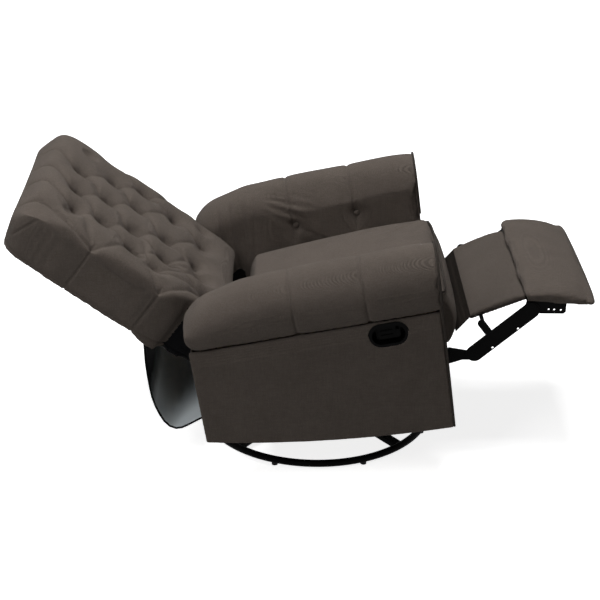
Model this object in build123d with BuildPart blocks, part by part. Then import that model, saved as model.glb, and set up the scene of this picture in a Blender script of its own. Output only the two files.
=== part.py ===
from build123d import *
from math import atan2, cos, degrees, hypot, radians, sin
import os

# Swivel glider recliner, modelled reclined with its footrest out. Lengths in mm.
# Profiles are drawn in (y, z) measured from the swivel axis and from a line
# BASE_LINE under the floor. The sitter faces -Y. AXIS_Y moves the swivel axis so
# that the origin is at the middle of the reclined chair's footprint.

AXIS_Y = -46
BASE_LINE = -7

# Base and swivel
RING_R = 302
RING_TUBE_R = 9.5
RING_Z = 21
GLIDE_COUNT = 8
GLIDE_R = 8
BAR_WIDTH = 26
HUB_R = 70
SWIVEL_Z = 58

# Glider
PIN_R = 5
PIN_HOLE_R = 5.05
POST_Y = 120
LINK_TOP_Z = 225
LINK_LOW_Z = 115
BASE_PLATE_X = 168.5
LINK_X = 173
CARRIAGE_X = 177.5
TILT_X = 184
TILT_PIVOT = (-150, 210)

# Seat body
SEAT_PLANE = ((-310, 385), (172, 287))
SEAT_HALF = 250
RAIL_DEPTH = 38
PLATE_X = 240
THIGH_X = 244.5
SHIN_X = 249
PLATE_T = 3
FOOT_HIP = (-200, 310)
FOOT_KNEE = (-396, 311)
FOOT_ANKLE = (-533, 430)
BACK_PIVOT = (210, 320)

# Arms: x from the middle plane, and the leaning front edge
ARM_IN = 256
WALL_OUT = 270
ARM_TOP = 330.5
ARM_OUT = 405
PANEL_OUT = 386
PANEL_T = 11
PLY_X = 272
PLY_T = 12
ARM_LEAN = 7.5
ARM_FRONT = (-272, 645)
REAR_CREASE = (321, 384)
FRONT_CREASE = (-291, 493)
PANEL_FOOT = ((-325, 170), (286, 132))
PANEL_SAG = 136

# Back cushion: u runs up the back, w out of its face, from a point on its edge
BACK_ORIGIN = (391, 507)
BACK_ANGLE = 36.4
BACK_HALF = 287
BACK_LOW_HALF = 250
BACK_THICK = 142
BACK_FOAM = 110
CROWN = 18
TUFT_PITCH = 135
TUFT_DEPTH = 15
TUFT_BALL = 36
BUTTON_R = 9

HANDLE = (-165, 430)
HANDLE_ANGLE = -10.1

os.makedirs("parts", exist_ok=True)


def side(x):
    """Plane at x whose sketch coordinates are (y from the swivel axis, z)."""
    return Plane(origin=(x, AXIS_Y, BASE_LINE), x_dir=(0, 1, 0), z_dir=(1, 0, 0))


def level(z):
    """Horizontal plane at z, centred on the swivel axis."""
    return Plane(origin=(0, AXIS_Y, BASE_LINE + z), x_dir=(1, 0, 0), z_dir=(0, 0, 1))


def tilted_side(x, origin, angle):
    """Side plane at x, turned by angle about a point given as (y, z)."""
    direction = (0, cos(radians(angle)), sin(radians(angle)))
    return Plane(origin=(x, AXIS_Y + origin[0], BASE_LINE + origin[1]), x_dir=direction, z_dir=(1, 0, 0))


def slot(start, end, width):
    """Rounded bar outline between two points of the current sketch."""
    length = hypot(end[0] - start[0], end[1] - start[1])
    angle = degrees(atan2(end[1] - start[1], end[0] - start[0]))
    middle = ((start[0] + end[0]) / 2, (start[1] + end[1]) / 2)
    with Locations(middle):
        SlotCenterToCenter(length, width, rotation=angle)


def disc(centre, radius, mode=Mode.ADD):
    with Locations(centre):
        Circle(radius, mode=mode)


def outline(points):
    """Filled straight-sided outline."""
    Polygon(*points, align=None)


def seat_z(y, below=0):
    """Height of the sloping seat frame's top at y, less an amount."""
    (y0, z0), (y1, z1) = SEAT_PLANE
    return z0 + (y - y0) * (z1 - z0) / (y1 - y0) - below


def crease_z(y):
    """Height of the seam under the arm roll at y."""
    (y0, z0), (y1, z1) = FRONT_CREASE, REAR_CREASE
    return z0 + (y - y0) * (z1 - z0) / (y1 - y0)


# ---------------------------------------------------------------- base

with BuildPart() as base_ring:
    with Locations(level(RING_Z)):
        Torus(RING_R, RING_TUBE_R)
base_ring.part.label = "base_ring"
export_step(base_ring.part, "parts/base_ring.step")

with BuildPart() as base_crossbars:
    for angle in (45, 135, 225, 315):
        along = (cos(radians(angle)), sin(radians(angle)), 0)
        upright = Plane(origin=level(0).origin, x_dir=along, z_dir=(along[1], -along[0], 0))
        with BuildSketch(upright.offset(-BAR_WIDTH / 2)):
            outline([(0, 46), (60, 46), (RING_R, 15), (RING_R, 27), (60, SWIVEL_Z), (0, SWIVEL_Z)])
        extrude(amount=BAR_WIDTH)
    with Locations(level(RING_Z)):
        Torus(RING_R, RING_TUBE_R + 0.2, mode=Mode.SUBTRACT)
    with BuildSketch(level(0)):
        Circle(RING_R + 40)
        Circle(RING_R - 4, mode=Mode.SUBTRACT)
    extrude(amount=80, mode=Mode.SUBTRACT)
base_crossbars.part.label = "base_crossbars"
export_step(base_crossbars.part, "parts/base_crossbars.step")

with BuildPart() as base_glides:
    with BuildSketch(Plane.XY):
        with Locations((0, AXIS_Y)):
            with PolarLocations(RING_R, GLIDE_COUNT, start_angle=22.5):
                Circle(GLIDE_R)
    extrude(amount=8)
    with Locations(level(RING_Z)):
        Torus(RING_R, RING_TUBE_R + 0.2, mode=Mode.SUBTRACT)
base_glides.part.label = "base_glides"
export_step(base_glides.part, "parts/base_glides.step")

with BuildPart() as swivel_lower_plate:
    with BuildSketch(level(SWIVEL_Z)):
        Circle(HUB_R)
        Circle(13, mode=Mode.SUBTRACT)
    extrude(amount=4)
    with BuildSketch(level(SWIVEL_Z + 4)):
        Circle(HUB_R - 12)
        Circle(HUB_R - 22, mode=Mode.SUBTRACT)
    extrude(amount=3)
swivel_lower_plate.part.label = "swivel_lower_plate"
export_step(swivel_lower_plate.part, "parts/swivel_lower_plate.step")

with BuildPart() as swivel_post:
    with BuildSketch(level(SWIVEL_Z)):
        Circle(12.95)
    extrude(amount=17)
    with BuildSketch(level(SWIVEL_Z + 17)):
        Circle(20)
    extrude(amount=4)
swivel_post.part.label = "swivel_post"
export_step(swivel_post.part, "parts/swivel_post.step")

# ---------------------------------------------------------------- turntable

SWIVEL_TOP = SWIVEL_Z + 12

with BuildPart() as swivel_upper_plate:
    with BuildSketch(level(SWIVEL_TOP - 4)):
        Circle(HUB_R)
        Circle(HUB_R - 10, mode=Mode.SUBTRACT)
    extrude(amount=4)
    with BuildSketch(level(SWIVEL_TOP)):
        RectangleRounded(200, 200, 18)
        Circle(13, mode=Mode.SUBTRACT)
    extrude(amount=4.5)
swivel_upper_plate.part.label = "swivel_upper_plate"
export_step(swivel_upper_plate.part, "parts/swivel_upper_plate.step")

FRAME_Z = SWIVEL_TOP + 4.5

with BuildPart() as glider_base:
    with BuildSketch(level(FRAME_Z)):
        for y in (-70, 70):
            with Locations((0, y)):
                Rectangle(2 * BASE_PLATE_X, 30)
    extrude(amount=14)
    for s in (-1, 1):
        with BuildSketch(side(s * BASE_PLATE_X)):
            outline([(-POST_Y - 14, FRAME_Z), (POST_Y + 14, FRAME_Z), (POST_Y + 14, 96), (-POST_Y - 14, 96)])
            for y in (-POST_Y, POST_Y):
                slot((y, 90), (y, LINK_TOP_Z), 26)
                disc((y, LINK_TOP_Z), PIN_HOLE_R, Mode.SUBTRACT)
        extrude(amount=s * PLATE_T)
glider_base.part.label = "glider_base"
export_step(glider_base.part, "parts/glider_base.step")

with BuildPart() as glider_top_pins:
    for s in (-1, 1):
        for y in (-POST_Y, POST_Y):
            with BuildSketch(side(s * (BASE_PLATE_X - 3))):
                disc((y, LINK_TOP_Z), PIN_R)
            extrude(amount=s * 11.4)
            with BuildSketch(side(s * (BASE_PLATE_X - 6))):
                disc((y, LINK_TOP_Z), 9)
            extrude(amount=s * 3)
glider_top_pins.part.label = "glider_top_pins"
export_step(glider_top_pins.part, "parts/glider_top_pins.step")

# ---------------------------------------------------------------- glider links

for end, y in (("front", -POST_Y), ("rear", POST_Y)):
    with BuildPart() as glider_links:
        for s in (-1, 1):
            with BuildSketch(side(s * LINK_X)):
                slot((y, LINK_LOW_Z), (y, LINK_TOP_Z), 24)
                disc((y, LINK_LOW_Z), PIN_HOLE_R, Mode.SUBTRACT)
                disc((y, LINK_TOP_Z), PIN_HOLE_R, Mode.SUBTRACT)
            extrude(amount=s * PLATE_T)
    glider_links.part.label = f"glider_{end}_links"
    export_step(glider_links.part, f"parts/glider_{end}_links.step")

# ---------------------------------------------------------------- carriage

with BuildPart() as glider_carriage:
    for s in (-1, 1):
        with BuildSketch(side(s * CARRIAGE_X)):
            slot((-150, LINK_LOW_Z), (150, LINK_LOW_Z), 28)
            slot((-150, LINK_LOW_Z), TILT_PIVOT, 28)
            for y in (-POST_Y, POST_Y):
                disc((y, LINK_LOW_Z), PIN_HOLE_R, Mode.SUBTRACT)
            disc(TILT_PIVOT, PIN_HOLE_R, Mode.SUBTRACT)
        extrude(amount=s * 4)
    for y in (-45, 45):
        with BuildSketch(side(-CARRIAGE_X)):
            disc((y, LINK_LOW_Z), 8)
        extrude(amount=2 * CARRIAGE_X)
glider_carriage.part.label = "glider_carriage"
export_step(glider_carriage.part, "parts/glider_carriage.step")

with BuildPart() as carriage_pins:
    for s in (-1, 1):
        for y in (-POST_Y, POST_Y):
            with BuildSketch(side(s * (LINK_X - 0.4))):
                disc((y, LINK_LOW_Z), PIN_R)
            extrude(amount=s * 9)
            with BuildSketch(side(s * (CARRIAGE_X + 4))):
                disc((y, LINK_LOW_Z), 8.5)
            extrude(amount=s * 2)
        with BuildSketch(side(s * CARRIAGE_X)):
            disc(TILT_PIVOT, PIN_R)
        extrude(amount=s * 10.8)
        with BuildSketch(side(s * (CARRIAGE_X + 10.8))):
            disc(TILT_PIVOT, 8.5)
        extrude(amount=s * 2)
carriage_pins.part.label = "carriage_pins"
export_step(carriage_pins.part, "parts/carriage_pins.step")

# ---------------------------------------------------------------- seat body, metal and wood

CROSS_RAILS = ((-172, -134), (70, 100))

with BuildPart() as seat_rails:
    with BuildSketch(side(-PLY_X)):
        outline([(-296, seat_z(-296)), (-275, seat_z(-275)), (-275, 344), (-301, 346)])
    extrude(amount=2 * PLY_X)
    with BuildSketch(side(-PLATE_X)):
        outline([(144, seat_z(144)), (172, seat_z(172)), (172, seat_z(172, RAIL_DEPTH)),
                 (144, seat_z(144, RAIL_DEPTH))])
    extrude(amount=2 * PLATE_X)
    for s in (-1, 1):
        with BuildSketch(side(s * 205)):
            outline([(-275, seat_z(-275)), (144, seat_z(144)), (144, seat_z(144, RAIL_DEPTH)),
                     (-275, seat_z(-275, RAIL_DEPTH))])
        extrude(amount=s * (PLATE_X - 205))
    for y0, y1 in CROSS_RAILS:
        with BuildSketch(side(-205)):
            outline([(y0, seat_z(y0, 16)), (y1, seat_z(y1, 16)), (y1, seat_z(y1, RAIL_DEPTH)),
                     (y0, seat_z(y0, RAIL_DEPTH))])
        extrude(amount=410)
seat_rails.part.label = "seat_rails"
export_step(seat_rails.part, "parts/seat_rails.step")

with BuildPart() as tilt_brackets:
    for s in (-1, 1):
        with BuildSketch(side(s * TILT_X)):
            outline([(-170, seat_z(-170, RAIL_DEPTH)), (-136, seat_z(-136, RAIL_DEPTH)),
                     (-136, TILT_PIVOT[1]), (-164, TILT_PIVOT[1])])
            disc(TILT_PIVOT, 14)
            disc(TILT_PIVOT, PIN_HOLE_R, Mode.SUBTRACT)
        extrude(amount=s * 4)
tilt_brackets.part.label = "tilt_brackets"
export_step(tilt_brackets.part, "parts/tilt_brackets.step")

with BuildPart() as mechanism_plates:
    for s in (-1, 1):
        with BuildSketch(side(s * PLATE_X)):
            outline([(-214, seat_z(-214, 6)), (150, seat_z(150, 6)), (190, 236), (150, 236),
                     (-184, 296), (-214, 306)])
            slot((178, 250), BACK_PIVOT, 24)
            disc(FOOT_HIP, 16)
            disc(FOOT_HIP, PIN_HOLE_R, Mode.SUBTRACT)
            disc(BACK_PIVOT, PIN_HOLE_R, Mode.SUBTRACT)
        extrude(amount=s * PLATE_T)
mechanism_plates.part.label = "mechanism_plates"
export_step(mechanism_plates.part, "parts/mechanism_plates.step")

with BuildPart() as mechanism_pins:
    for s in (-1, 1):
        for centre in (FOOT_HIP, BACK_PIVOT):
            with BuildSketch(side(s * (PLATE_X - 3))):
                disc(centre, 8)
            extrude(amount=s * 3)
            with BuildSketch(side(s * PLATE_X)):
                disc(centre, PIN_R)
            extrude(amount=s * 7.8)
            with BuildSketch(side(s * (PLATE_X + 7.8))):
                disc(centre, 7.5)
            extrude(amount=s * 1)
mechanism_pins.part.label = "mechanism_pins"
export_step(mechanism_pins.part, "parts/mechanism_pins.step")

SPRING_X = (-150, -75, 0, 75, 150)
SPRING_STEPS = 11
SPRING_SWING = 22

with BuildPart() as seat_springs:
    for x in SPRING_X:
        spring_plane = Plane(
            origin=(x, AXIS_Y - 272, BASE_LINE + seat_z(-272, 5)),
            x_dir=(0, 1, (seat_z(1) - seat_z(0))),
            z_dir=(0, -(seat_z(1) - seat_z(0)), 1),
        )
        reach = hypot(414, seat_z(142) - seat_z(-272))
        step = reach / SPRING_STEPS
        with BuildLine(spring_plane) as zigzag:
            points = [(0, 0)]
            for i in range(SPRING_STEPS):
                points.append(((i + 0.5) * step, SPRING_SWING * (1 if i % 2 else -1)))
            points.append((reach, 0))
            Spline(*points)
        with BuildSketch(Plane(origin=zigzag.line @ 0, z_dir=zigzag.line % 0)):
            Circle(1.9)
        sweep(path=zigzag.line)
seat_springs.part.label = "seat_springs"
export_step(seat_springs.part, "parts/seat_springs.step")

# ---------------------------------------------------------------- seat cushion


def edge_rise(x, half, reach, power=2.6):
    """How far a cushion falls away at x: 0 in the middle, 1 at its side."""
    return min(1.0, abs(x) / half) ** power * reach


with BuildPart() as seat_cushion:
    for share in (-1, -0.95, -0.85, -0.6, -0.3, 0, 0.3, 0.6, 0.85, 0.95, 1):
        x = share * SEAT_HALF
        inset = edge_rise(x, SEAT_HALF, 10, 14)
        drop = edge_rise(x, SEAT_HALF, 12) + inset * 0.5 - 7
        with BuildSketch(side(x)):
            with BuildLine():
                heel = (172 - inset, seat_z(172) + 2 + inset)
                Polyline((-306, 344), (-306, 390 + inset), heel)
                ThreePointArc(heel, (182 - inset, 335), (166 - inset, 388 - drop))
                nose = (-296 + inset, 487 - drop)
                brow = (-322 + inset, 472 - drop)
                chin = (-334 + inset, 330 + inset)
                Spline((166 - inset, 388 - drop), (45, 420 - drop), (-123, 461 - drop),
                       (-240, 484 - drop), nose)
                ThreePointArc(nose, (-311 + inset, 484 - drop), brow)
                ThreePointArc(brow, (-351 + inset, 400), chin)
                Line(chin, (-306, 344))
            make_face()
    loft()
seat_cushion.part.label = "seat_cushion"
export_step(seat_cushion.part, "parts/seat_cushion.step")

# ---------------------------------------------------------------- arms

# (y, z) of the roll's highest line from front to rear, how far the inner side
# and the roll reach down from it, and how much the rear end draws in
ARM_TOPS = (
    ((-262, 644), 253, 151, 0),
    ((-191, 636), 266, 158, 0),
    ((-94, 614), 268, 154, 0),
    ((2, 595), 269, 152, 0),
    ((85, 577), 268, 148, 0),
    ((172, 555), 265, 142, 0),
    ((225, 536), 252, 132, 0),
    ((268, 515), 231, 118, 0),
    ((302, 494), 208, 104, 0),
    ((325, 474), 184, 84, 4),
    ((339, 460), 152, 52, 10),
)


def arm_plane(top):
    """Leaning plane across the arm, through the roll's top at (y, z)."""
    lean = radians(ARM_LEAN)
    origin = (0, AXIS_Y + top[0], BASE_LINE + top[1])
    return Plane(origin=origin, x_dir=(1, 0, 0), z_dir=(0, -cos(lean), sin(lean)))


def arm_section(reach, roll, side_sign, shrink):
    """Roll with the padded wall that goes down to the seat."""
    s = side_sign
    half = roll / 2
    inner = ARM_IN + shrink
    outer = ARM_OUT - shrink
    top = -shrink
    with BuildLine() as edge:
        Polyline((s * WALL_OUT, -reach), (s * inner, -reach), (s * inner, -half))
        ThreePointArc((s * inner, -half), (s * (inner + 22), top - half * 0.29), (s * ARM_TOP, top))
        ThreePointArc((s * ARM_TOP, top), (s * (outer - 22), top - half * 0.31), (s * outer, -half * 1.05))
        under = outer - ARM_OUT + PANEL_OUT
        ThreePointArc((s * outer, -half * 1.05), (s * (outer - 3), -half * 1.6), (s * under, -roll))
        Polyline((s * under, -roll), (s * WALL_OUT, -roll), (s * WALL_OUT, -reach))
    make_face(edge.edges())


for s, hand in ((-1, "right"), (1, "left")):
    with BuildPart() as arm_roll:
        for top, reach, roll, shrink in ARM_TOPS:
            with BuildSketch(arm_plane(top)):
                arm_section(reach, roll, s, shrink)
        loft()
    arm_roll.part.label = f"arm_roll_{hand}"
    export_step(arm_roll.part, f"parts/arm_roll_{hand}.step")

    with BuildPart() as arm_outer:
        with BuildSketch(side(s * (PANEL_OUT - PANEL_T))):
            with BuildLine():
                ThreePointArc(PANEL_FOOT[0], (-20, PANEL_SAG), PANEL_FOOT[1])
                Polyline(PANEL_FOOT[1], (325, crease_z(325) - 3), (-280, crease_z(-280) - 3), PANEL_FOOT[0])
            make_face()
            if hand == "right":
                with Locations(Location((HANDLE[0], HANDLE[1]), HANDLE_ANGLE)):
                    SlotOverall(90, 54, mode=Mode.SUBTRACT)
        extrude(amount=s * PANEL_T)
    arm_outer.part.label = f"arm_outer_{hand}"
    export_step(arm_outer.part, f"parts/arm_outer_{hand}.step")

    with BuildPart() as arm_ply:
        with BuildSketch(side(s * PLY_X)):
            outline([(-318, 186), (272, 146), (300, crease_z(300) - 4), (-280, crease_z(-280) - 4)])
            disc((-130, 300), 5, Mode.SUBTRACT)
        extrude(amount=s * PLY_T)
    arm_ply.part.label = f"arm_ply_{hand}"
    export_step(arm_ply.part, f"parts/arm_ply_{hand}.step")

    with BuildPart() as arm_posts:
        with BuildSketch(side(s * (PLY_X + PLY_T))):
            outline([(-320, 188), (-285, 186), (-258, crease_z(-258) - 8), (-281, crease_z(-281) - 6)])
            outline([(236, 150), (272, 148), (298, crease_z(298) - 6), (262, crease_z(262) - 6)])
        extrude(amount=s * (PANEL_OUT - PANEL_T - PLY_X - PLY_T))
        with BuildSketch(side(s * (PLY_X + PLY_T))):
            outline([(-283, 186), (234, 152), (238, 182), (-280, 216)])
        extrude(amount=s * 50)
    arm_posts.part.label = f"arm_posts_{hand}"
    export_step(arm_posts.part, f"parts/arm_posts_{hand}.step")

    with BuildPart() as arm_front:
        with BuildSketch(arm_plane(ARM_FRONT).offset(-9)):
            with BuildLine():
                Polyline((s * 258, -476), (s * 258, -75))
                ThreePointArc((s * 258, -75), (s * 279, -22), (s * ARM_TOP, -1))
                ThreePointArc((s * ARM_TOP, -1), (s * 382, -24), (s * 403, -79))
                ThreePointArc((s * 403, -79), (s * 401, -121), (s * PANEL_OUT, -151))
                Polyline((s * PANEL_OUT, -151), (s * PANEL_OUT, -476), (s * 258, -476))
            make_face()
        extrude(amount=9)
    arm_front.part.label = f"arm_front_{hand}"
    export_step(arm_front.part, f"parts/arm_front_{hand}.step")

    with BuildPart() as arm_welt:
        welt_plane = arm_plane(ARM_FRONT).offset(2.6)
        ends = [welt_plane.y_dir, -welt_plane.y_dir]
        with BuildLine(welt_plane) as welt_path:
            Line((s * 256.5, -150), (s * 256.5, -75))
            Spline((s * 256.5, -75), (s * 278, -20.5), (s * ARM_TOP, 0.5), (s * 383, -23), (s * 404.5, -79),
                   (s * 400, -128), (s * (PANEL_OUT + 1), -165), tangents=ends)
            Line((s * (PANEL_OUT + 1), -165), (s * (PANEL_OUT + 1), -474))
        with BuildSketch(Plane(origin=welt_path.line @ 0, z_dir=welt_path.line % 0)):
            Circle(2.1)
        sweep(path=welt_path.line)
    arm_welt.part.label = f"arm_welt_{hand}"
    export_step(arm_welt.part, f"parts/arm_welt_{hand}.step")

ARM_BUTTONS = ((-117, 498), (53, 462))

with BuildPart() as arm_buttons:
    for s in (-1, 1):
        for centre in ARM_BUTTONS:
            with BuildSketch(side(s * (ARM_IN - 0.2))):
                disc(centre, 8)
            extrude(amount=-s * 4)
arm_buttons.part.label = "arm_buttons"
export_step(arm_buttons.part, "parts/arm_buttons.step")

with BuildPart() as rear_rail:
    with BuildSketch(side(-PLY_X)):
        outline([(258, 142), (274, 141), (280, 176), (264, 178)])
    extrude(amount=2 * PLY_X)
rear_rail.part.label = "rear_rail"
export_step(rear_rail.part, "parts/rear_rail.step")

# Cloth that closes the space under the back. It hangs from the back's lower
# rear edge and comes up to the rear rail.
SKIRT_T = 2.5

with BuildPart() as rear_skirt:
    with BuildSketch(side(-240)):
        with BuildLine():
            Spline((444, 352), (443, 287), (431, 189), (405, 121), (372, 97), (330, 112), (286, 134),
                   tangents=[(0, -1), (-1, 0.55)])
        trace(line_width=SKIRT_T)
    extrude(amount=480)
rear_skirt.part.label = "rear_skirt"
export_step(rear_skirt.part, "parts/rear_skirt.step")

# ---------------------------------------------------------------- release handle


def handle_side(x):
    return tilted_side(x, HANDLE, HANDLE_ANGLE)


PADDLE_PIVOT = 26
HANDLE_ALONG = (0, cos(radians(HANDLE_ANGLE)), sin(radians(HANDLE_ANGLE)))
HANDLE_UP = (0, -HANDLE_ALONG[2], HANDLE_ALONG[1])
PADDLE_PIN = Plane(origin=handle_side(-372).origin, x_dir=HANDLE_ALONG, z_dir=HANDLE_UP)

with BuildPart() as handle_cup:
    with BuildSketch(handle_side(-PANEL_OUT)):
        SlotOverall(102, 64)
    extrude(amount=-3)
    with BuildSketch(handle_side(-PANEL_OUT)):
        SlotOverall(88, 52)
    extrude(amount=34)
    with BuildSketch(handle_side(-PANEL_OUT - 3)):
        SlotOverall(82, 46)
    extrude(amount=34, mode=Mode.SUBTRACT)
    with BuildSketch(PADDLE_PIN.offset(-24.2)):
        disc((PADDLE_PIVOT, 0), 2.56)
    extrude(amount=48.4, mode=Mode.SUBTRACT)
handle_cup.part.label = "handle_cup"
export_step(handle_cup.part, "parts/handle_cup.step")

with BuildPart() as handle_paddle:
    with BuildSketch(handle_side(-374)):
        RectangleRounded(60, 34, 8)
    extrude(amount=5)
    with BuildSketch(handle_side(-374)):
        with Locations((-23, 0)):
            RectangleRounded(8, 20, 3)
    extrude(amount=-9)
    with BuildSketch(handle_side(-374)):
        with Locations((4, 6), (4, -6)):
            RectangleRounded(30, 3, 1.2)
    extrude(amount=-2.5)
    with BuildSketch(PADDLE_PIN.offset(-23.8)):
        disc((PADDLE_PIVOT, 0), 2.5)
    extrude(amount=47.6)
handle_paddle.part.label = "handle_paddle"
export_step(handle_paddle.part, "parts/handle_paddle.step")

with BuildPart() as release_cable:
    with BuildLine(level(0)) as cable_path:
        FilletPolyline((-350.5, -150, 425), (-325, -145, 420), (-315, -130, 300), (-243, -130, 300),
                       radius=12)
    with BuildSketch(Plane(origin=cable_path.line @ 0, z_dir=cable_path.line % 0)):
        Circle(2.5)
    sweep(path=cable_path.line)
release_cable.part.label = "release_cable"
export_step(release_cable.part, "parts/release_cable.step")

# ---------------------------------------------------------------- back

BACK_U = (0, cos(radians(BACK_ANGLE)), sin(radians(BACK_ANGLE)))
BACK_W = (0, -sin(radians(BACK_ANGLE)), cos(radians(BACK_ANGLE)))


def back_point(u, w):
    """Row position on the middle plane at u up the back and w out of its face."""
    return (
        0,
        AXIS_Y + BACK_ORIGIN[0] + u * BACK_U[1] + w * BACK_W[1],
        BASE_LINE + BACK_ORIGIN[1] + u * BACK_U[2] + w * BACK_W[2],
    )


def back_across(u):
    """Plane across the back at u, with sketch coordinates (x, w)."""
    return Plane(origin=back_point(u, 0), x_dir=(1, 0, 0), z_dir=tuple(-c for c in BACK_U))


def back_face(w):
    """Plane parallel to the back at w, with sketch coordinates (x, u)."""
    return Plane(origin=back_point(0, w), x_dir=(1, 0, 0), z_dir=BACK_W)


def back_side(x):
    """Side plane at x with sketch coordinates (u, w)."""
    return tilted_side(x, BACK_ORIGIN, BACK_ANGLE)


def tuft_level(x, u):
    """Height w of the crowned face at a tuft."""
    return CROWN * (1 - (x / (BACK_HALF - EDGE_CUT)) ** 2) - (1 if u > 250 else 0)


# u, half width, level of the face's edge, crown above it
BACK_SECTIONS = (
    (-210, 236, -22, 6),
    (-192, 248, -6, 14),
    (-140, 249, 0, 18),
    (-100, 249, 0, 18),
    (-76, 252, 0, 18),
    (-58, 263, 0, 18),
    (-38, 279, 0, 18),
    (0, 287, 0, 18),
    (120, 288, 0, 18),
    (270, 288, -1, 18),
    (330, 286, -1, 17),
    (355, 284, -5, 17),
    (372, 280, -13, 18),
    (386, 272, -29, 18),
    (396, 258, -48, 16),
    (402, 236, -66, 10),
)
EDGE_CUT = 10

with BuildPart() as back_cushion:
    for u, half, edge, crown in BACK_SECTIONS:
        with BuildSketch(back_across(u)):
            with BuildLine():
                shoulder = half - EDGE_CUT
                Polyline((-shoulder, edge), (-half, edge - EDGE_CUT), (-half, -BACK_FOAM), (half, -BACK_FOAM),
                         (half, edge - EDGE_CUT), (shoulder, edge))
                ThreePointArc((shoulder, edge), (0, edge + crown), (-shoulder, edge))
            make_face()
    loft()
    TUFT_ROWS = ((285, 0.5), (190, 0), (100, 0.5), (5, 0), (-90, 0.5))
    tufts = []
    for u, shift in TUFT_ROWS:
        for i in range(-2, 3):
            x = (i + shift) * TUFT_PITCH
            if abs(x) < 215:
                tufts.append((x, u))
    for x, u in tufts:
        level_w = tuft_level(x, u)
        y, z = back_point(u, level_w + TUFT_BALL - TUFT_DEPTH)[1:]
        with Locations((x, y, z)):
            Sphere(TUFT_BALL, mode=Mode.SUBTRACT)
back_cushion.part.label = "back_cushion"
export_step(back_cushion.part, "parts/back_cushion.step")

with BuildPart() as back_buttons:
    for x, u in tufts:
        with BuildSketch(back_face(tuft_level(x, u) - TUFT_DEPTH + 1.4)):
            with Locations((x, u)):
                Circle(BUTTON_R)
        extrude(amount=5)
back_buttons.part.label = "back_buttons"
export_step(back_buttons.part, "parts/back_buttons.step")


def back_outline(inset):
    low = BACK_LOW_HALF - 2 - inset
    wide = BACK_HALF - 2 - inset
    outline([(-low, -205 + inset), (low, -205 + inset), (low, -84), (wide, -36), (wide, 356),
             (wide - 14, 386 - inset), (-wide + 14, 386 - inset), (-wide, 356), (-wide, -36), (-low, -84)])


with BuildPart() as back_shell:
    with BuildSketch(back_face(-BACK_THICK)):
        back_outline(0)
    extrude(amount=BACK_THICK - BACK_FOAM - 0.5)
    with BuildSketch(back_face(-BACK_THICK + 5)):
        back_outline(4)
    extrude(amount=BACK_THICK, mode=Mode.SUBTRACT)
    for s in (-1, 1):
        with BuildSketch(back_face(-BACK_THICK + 5)):
            with Locations((s * 254, -145)):
                Rectangle(20.2, 190)
        extrude(amount=BACK_THICK, mode=Mode.SUBTRACT)
back_shell.part.label = "back_shell"
export_step(back_shell.part, "parts/back_shell.step")

with BuildPart() as back_frame:
    with BuildSketch(back_face(-BACK_THICK + 5)):
        for s in (-1, 1):
            with Locations((s * 222, 80)):
                Rectangle(43, 550)
    extrude(amount=24)
    with BuildSketch(back_face(-BACK_THICK + 5)):
        for u in (-180, 20, 335):
            with Locations((0, u)):
                Rectangle(401, 40)
    extrude(amount=24)
    with BuildSketch(back_face(-BACK_THICK + 5)):
        for s in (-1, 1):
            for u in (20, 325):
                with Locations((s * 261, u)):
                    Rectangle(35, 40)
    extrude(amount=24)
back_frame.part.label = "back_frame"
export_step(back_frame.part, "parts/back_frame.step")

PIVOT_U = ((BACK_PIVOT[0] - BACK_ORIGIN[0]) * BACK_U[1] + (BACK_PIVOT[1] - BACK_ORIGIN[1]) * BACK_U[2])
PIVOT_W = ((BACK_PIVOT[0] - BACK_ORIGIN[0]) * BACK_W[1] + (BACK_PIVOT[1] - BACK_ORIGIN[1]) * BACK_W[2])

with BuildPart() as back_brackets:
    for s in (-1, 1):
        with BuildSketch(back_side(s * THIGH_X)):
            outline([(-60, -127), (-60, -110), (-222, -110), (PIVOT_U + 13, PIVOT_W), (PIVOT_U - 14, PIVOT_W),
                     (-250, -127)])
            disc((PIVOT_U, PIVOT_W), 14)
            disc((PIVOT_U, PIVOT_W), PIN_HOLE_R, Mode.SUBTRACT)
        extrude(amount=s * PLATE_T)
back_brackets.part.label = "back_brackets"
export_step(back_brackets.part, "parts/back_brackets.step")

# ---------------------------------------------------------------- footrest

with BuildPart() as thigh_links:
    for s in (-1, 1):
        with BuildSketch(side(s * THIGH_X)):
            disc(FOOT_HIP, 16)
            disc(FOOT_KNEE, 13)
            outline([(-200, 314), (-316, 314), (-330, 326), (-384, 316), (-396, 291), (-365, 291),
                     (-335, 281), (-200, 296)])
            disc(FOOT_HIP, PIN_HOLE_R, Mode.SUBTRACT)
        extrude(amount=s * PLATE_T)
        with BuildSketch(side(s * (THIGH_X + PLATE_T))):
            disc(FOOT_KNEE, PIN_R)
        extrude(amount=s * 5.2)
    with BuildSketch(side(-THIGH_X)):
        disc((-250, 311), 8)
    extrude(amount=2 * THIGH_X)
thigh_links.part.label = "thigh_links"
export_step(thigh_links.part, "parts/thigh_links.step")

PANEL_REAR = (-384, 403)
PANEL_FRONT = (-512, 459)
PANEL_HALF = 219
PANEL_ANGLE = degrees(atan2(PANEL_REAR[1] - PANEL_FRONT[1], PANEL_REAR[0] - PANEL_FRONT[0]))
PANEL_LENGTH = hypot(PANEL_REAR[0] - PANEL_FRONT[0], PANEL_REAR[1] - PANEL_FRONT[1])

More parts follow.
